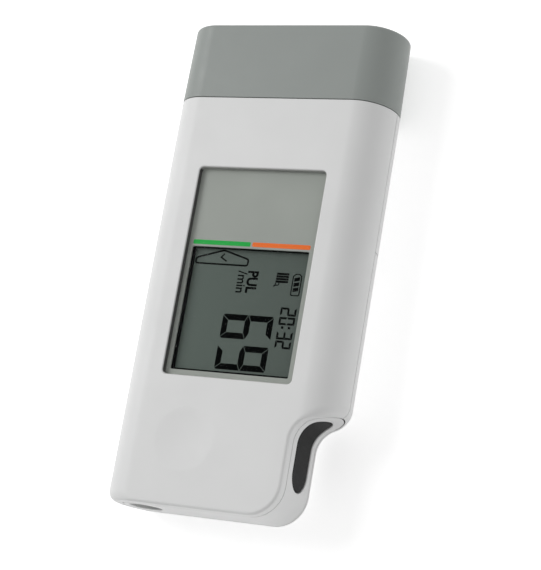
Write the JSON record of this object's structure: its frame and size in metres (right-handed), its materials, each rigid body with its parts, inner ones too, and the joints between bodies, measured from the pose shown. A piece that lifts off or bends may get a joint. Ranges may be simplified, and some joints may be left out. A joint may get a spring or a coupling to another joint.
{
  "type": "ecg home monitor",
  "caption": "Flat hand-held heart recorder with a display, a finger electrode in a side notch, a chest electrode under a pull-off cap, a push key and a sliding battery cover.",
  "frame": {"origin": "middle of the casing seen from the front, at the height of its flat back, on which it lies", "axes": "+Y along the monitor towards the cap over the chest electrode, +Z out of the display, +X towards the side with the finger notch"},
  "size_m": [0.0584, 0.1236, 0.0194],
  "materials": {
    "white_plastic": "fine spark-eroded texture, satin",
    "grey_plastic": "moulded satin",
    "black_plastic": "moulded",
    "conductive_black": "carbon-filled, fine grain",
    "mask_grey": "printed",
    "clear_plastic": "polished",
    "display_glass": "polariser film",
    "board_green": "solder mask",
    "steel": "satin",
    "nickel": "plated spring strip",
    "cell_jacket": "shrink film"
  },
  "bodies": {
    "handset": {"front_shell": "white_plastic", "back_shell": "white_plastic", "electrode_rail": "white_plastic", "electrode_neck": "white_plastic", "key_switch": "black_plastic", "battery_tray": "black_plastic", "buzzer": "black_plastic", "lcd_holder": "black_plastic", "processor_chip": "black_plastic", "amplifier_chip": "black_plastic", "finger_electrode": "conductive_black", "display_mask": "mask_grey", "display_lens": "clear_plastic", "lcd_panel": "display_glass", "main_board": "board_green", "chest_electrode": "steel", "clock_crystal": "steel", "radio_module": "steel", "case_screw_1": "steel", "case_screw_2": "steel", "case_screw_3": "steel", "case_screw_4": "steel", "cell_spring_1": "steel", "cell_spring_2": "steel", "cell_spring_3": "steel", "contact_link_2": "nickel", "contact_link_1": "nickel", "contact_negative": "nickel", "contact_positive": "nickel", "chest_contact": "nickel", "finger_contact": "nickel", "battery_cell_1": "cell_jacket", "battery_cell_2": "cell_jacket", "battery_cell_3": "cell_jacket"},
    "protective_cap": {"protective_cap": "grey_plastic"},
    "power_key": {"power_key": "grey_plastic"},
    "battery_cover": {"battery_cover": "white_plastic"}
  },
  "joints": [
    {"name": "cap_slide", "type": "slide", "parent": "handset", "child": "protective_cap", "axis": [0, 1, 0], "range_m": [0, 0.022]},
    {"name": "key_press", "type": "slide", "parent": "handset", "child": "power_key", "axis": [0, 1, 0], "range_m": [0, 0.0007], "stiffness_N_per_m": 1200},
    {"name": "cover_slide", "type": "slide", "parent": "handset", "child": "battery_cover", "axis": [0, -1, 0], "range_m": [0, 0.07]}
  ]
}
